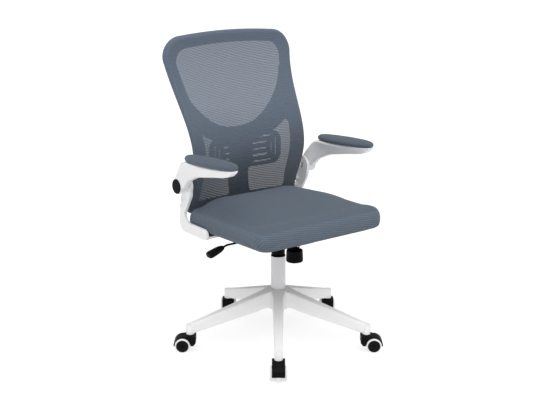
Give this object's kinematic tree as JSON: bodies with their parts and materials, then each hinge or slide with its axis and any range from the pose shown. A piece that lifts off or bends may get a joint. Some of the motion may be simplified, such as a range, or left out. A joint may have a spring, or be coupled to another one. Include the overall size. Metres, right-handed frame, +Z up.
{
  "type": "office chair",
  "caption": "Swivel task chair with a curved mesh back, padded seat, flip-up arms, gas height lift, tilt with tension knob and a star base on twin-wheel casters.",
  "frame": {"origin": "on the floor, on the axis of the column", "axes": "+Z up, the sitter faces -Y, +X to the sitter's left"},
  "size_m": [0.6963, 0.6713, 1.037],
  "materials": {
    "white_nylon": "fine moulded grain",
    "white_enamel": "smooth satin",
    "seat_fabric": "woven, blue grey",
    "back_mesh": "ribbed elastic mesh",
    "seat_board": "plywood under a black lining cloth",
    "bright_steel": "zinc plated",
    "black_enamel": "black powder coat",
    "black_plastic": "moulded grain",
    "wheel_plastic": "pale tyre with a dark hub disc"
  },
  "bodies": {
    "base": {"star_base": "white_nylon", "caster_stems": "bright_steel", "column_tube": "white_enamel", "guide_bush": "black_plastic", "thrust_bearing": "bright_steel"},
    "gas_rod": {"piston_rod": "bright_steel", "rod_clip": "bright_steel"},
    "lift": {"gas_cylinder": "black_enamel", "tilt_housing": "black_enamel", "tilt_shaft": "bright_steel"},
    "release_pin": {"release_pin": "bright_steel"},
    "lever_bush": {"lever_bush": "black_plastic"},
    "lever": {"lever_rod": "black_enamel", "lever_handle": "black_plastic"},
    "seat": {"seat_plate": "black_enamel", "seat_pan": "seat_board", "seat_cushion": "seat_fabric", "seat_screws": "bright_steel", "foot_screws": "bright_steel", "arm_bracket_left": "white_nylon", "arm_bracket_right": "white_nylon", "arm_pivot_left": "bright_steel", "arm_pivot_right": "bright_steel", "back_frame": "black_plastic", "back_mesh": "back_mesh", "back_screws": "white_enamel", "tension_bolt": "bright_steel", "tension_spring": "bright_steel"},
    "tension_washer": {"tension_washer": "bright_steel"},
    "tension_knob": {"tension_knob": "black_plastic"},
    "lumbar": {"lumbar_pad": "black_plastic", "lumbar_clip": "black_plastic"},
    "arm_left": {"arm_left": "white_nylon", "arm_pad_left": "seat_fabric", "arm_cap_left": "black_plastic"},
    "arm_right": {"arm_right": "white_nylon", "arm_pad_right": "seat_fabric", "arm_cap_right": "black_plastic"},
    "caster_1": {"caster_1_hood": "black_plastic", "caster_1_axle": "bright_steel"},
    "caster_1_wheel_left": {"caster_1_wheel_left": "wheel_plastic"},
    "caster_1_wheel_right": {"caster_1_wheel_right": "wheel_plastic"},
    "caster_2": {"caster_2_hood": "black_plastic", "caster_2_axle": "bright_steel"},
    "caster_2_wheel_left": {"caster_2_wheel_left": "wheel_plastic"},
    "caster_2_wheel_right": {"caster_2_wheel_right": "wheel_plastic"},
    "caster_3": {"caster_3_hood": "black_plastic", "caster_3_axle": "bright_steel"},
    "caster_3_wheel_left": {"caster_3_wheel_left": "wheel_plastic"},
    "caster_3_wheel_right": {"caster_3_wheel_right": "wheel_plastic"},
    "caster_4": {"caster_4_hood": "black_plastic", "caster_4_axle": "bright_steel"},
    "caster_4_wheel_left": {"caster_4_wheel_left": "wheel_plastic"},
    "caster_4_wheel_right": {"caster_4_wheel_right": "wheel_plastic"},
    "caster_5": {"caster_5_hood": "black_plastic", "caster_5_axle": "bright_steel"},
    "caster_5_wheel_left": {"caster_5_wheel_left": "wheel_plastic"},
    "caster_5_wheel_right": {"caster_5_wheel_right": "wheel_plastic"}
  },
  "joints": [
    {"name": "swivel", "type": "hinge", "parent": "base", "child": "gas_rod", "pos_m": [0, 0, 0.2], "axis": [0, 0, 1], "continuous": true},
    {"name": "height", "type": "slide", "parent": "gas_rod", "child": "lift", "axis": [0, 0, 1], "range_m": [0, 0.1]},
    {"name": "release", "type": "slide", "parent": "lift", "child": "release_pin", "axis": [0, 0, -1], "range_m": [0, 0.005]},
    {"name": "tilt_lock", "type": "slide", "parent": "lift", "child": "lever_bush", "axis": [-1, 0, 0], "range_m": [0, 0.012]},
    {"name": "lever_lift", "type": "hinge", "parent": "lever_bush", "child": "lever", "pos_m": [-0.058, 0.002, 0.38], "axis": [0, 1, 0], "range_deg": [0, 4], "stiffness_Nm_per_rad": 1.5, "springref_deg": -3.44},
    {"name": "tilt", "type": "hinge", "parent": "lift", "child": "seat", "pos_m": [0, -0.025, 0.383], "axis": [-1, 0, 0], "range_deg": [0, 11], "stiffness_Nm_per_rad": 120, "springref_deg": -12.61, "deforming": ["tension_spring"]},
    {"name": "tension_slide", "type": "slide", "parent": "seat", "child": "tension_washer", "axis": [0, 0, 1], "range_m": [-0.00176, 0.00176], "deforming": ["tension_spring"]},
    {"name": "tension_turn", "type": "hinge", "parent": "tension_washer", "child": "tension_knob", "pos_m": [0, -0.089, 0.32], "axis": [0, 0, 1], "range_deg": [-360, 360]},
    {"name": "lumbar_height", "type": "slide", "parent": "seat", "child": "lumbar", "axis": [0, 0, 1], "range_m": [-0.02, 0.02]},
    {"name": "arm_left_flip", "type": "hinge", "parent": "seat", "child": "arm_left", "pos_m": [0, 0.178, 0.552], "axis": [-1, 0, 0], "range_deg": [0, 90]},
    {"name": "arm_right_flip", "type": "hinge", "parent": "seat", "child": "arm_right", "pos_m": [0, 0.178, 0.552], "axis": [-1, 0, 0], "range_deg": [0, 90]},
    {"name": "caster_1_swivel", "type": "hinge", "parent": "base", "child": "caster_1", "pos_m": [-0.18743, -0.24692, 0.05], "axis": [0, 0, 1], "continuous": true},
    {"name": "caster_1_roll_left", "type": "hinge", "parent": "caster_1", "child": "caster_1_wheel_left", "pos_m": [-0.20254, -0.26684, 0.025], "axis": [0.7965, -0.6046, 0], "continuous": true},
    {"name": "caster_1_roll_right", "type": "hinge", "parent": "caster_1", "child": "caster_1_wheel_right", "pos_m": [-0.20254, -0.26684, 0.025], "axis": [0.7965, -0.6046, 0], "continuous": true},
    {"name": "caster_2_swivel", "type": "hinge", "parent": "base", "child": "caster_2", "pos_m": [0.17692, -0.25456, 0.05], "axis": [0, 0, 1], "continuous": true},
    {"name": "caster_2_roll_left", "type": "hinge", "parent": "caster_2", "child": "caster_2_wheel_left", "pos_m": [0.19683, -0.26967, 0.025], "axis": [0.6046, 0.7965, 0], "continuous": true},
    {"name": "caster_2_roll_right", "type": "hinge", "parent": "caster_2", "child": "caster_2_wheel_right", "pos_m": [0.19683, -0.26967, 0.025], "axis": [0.6046, 0.7965, 0], "continuous": true},
    {"name": "caster_3_swivel", "type": "hinge", "parent": "base", "child": "caster_3", "pos_m": [0.29677, 0.0896, 0.05], "axis": [0, 0, 1], "continuous": true},
    {"name": "caster_3_roll_left", "type": "hinge", "parent": "caster_3", "child": "caster_3_wheel_left", "pos_m": [0.31188, 0.10951, 0.025], "axis": [-0.7965, 0.6046, 0], "continuous": true},
    {"name": "caster_3_roll_right", "type": "hinge", "parent": "caster_3", "child": "caster_3_wheel_right", "pos_m": [0.31188, 0.10951, 0.025], "axis": [-0.7965, 0.6046, 0], "continuous": true},
    {"name": "caster_4_swivel", "type": "hinge", "parent": "base", "child": "caster_4", "pos_m": [0.00649, 0.30993, 0.05], "axis": [0, 0, 1], "continuous": true},
    {"name": "caster_4_roll_left", "type": "hinge", "parent": "caster_4", "child": "caster_4_wheel_left", "pos_m": [0.02161, 0.32984, 0.025], "axis": [-0.7965, 0.6046, 0], "continuous": true},
    {"name": "caster_4_roll_right", "type": "hinge", "parent": "caster_4", "child": "caster_4_wheel_right", "pos_m": [0.02161, 0.32984, 0.025], "axis": [-0.7965, 0.6046, 0], "continuous": true},
    {"name": "caster_5_swivel", "type": "hinge", "parent": "base", "child": "caster_5", "pos_m": [-0.29276, 0.10195, 0.05], "axis": [0, 0, 1], "continuous": true},
    {"name": "caster_5_roll_left", "type": "hinge", "parent": "caster_5", "child": "caster_5_wheel_left", "pos_m": [-0.31267, 0.11706, 0.025], "axis": [-0.6046, -0.7965, 0], "continuous": true},
    {"name": "caster_5_roll_right", "type": "hinge", "parent": "caster_5", "child": "caster_5_wheel_right", "pos_m": [-0.31267, 0.11706, 0.025], "axis": [-0.6046, -0.7965, 0], "continuous": true}
  ],
  "couplings": [
    {"joint": "release", "follows": "lever_lift", "m_per_rad": 0.066},
    {"joint": "tension_slide", "follows": "tension_turn", "m_per_rad": 0.0002785}
  ]
}
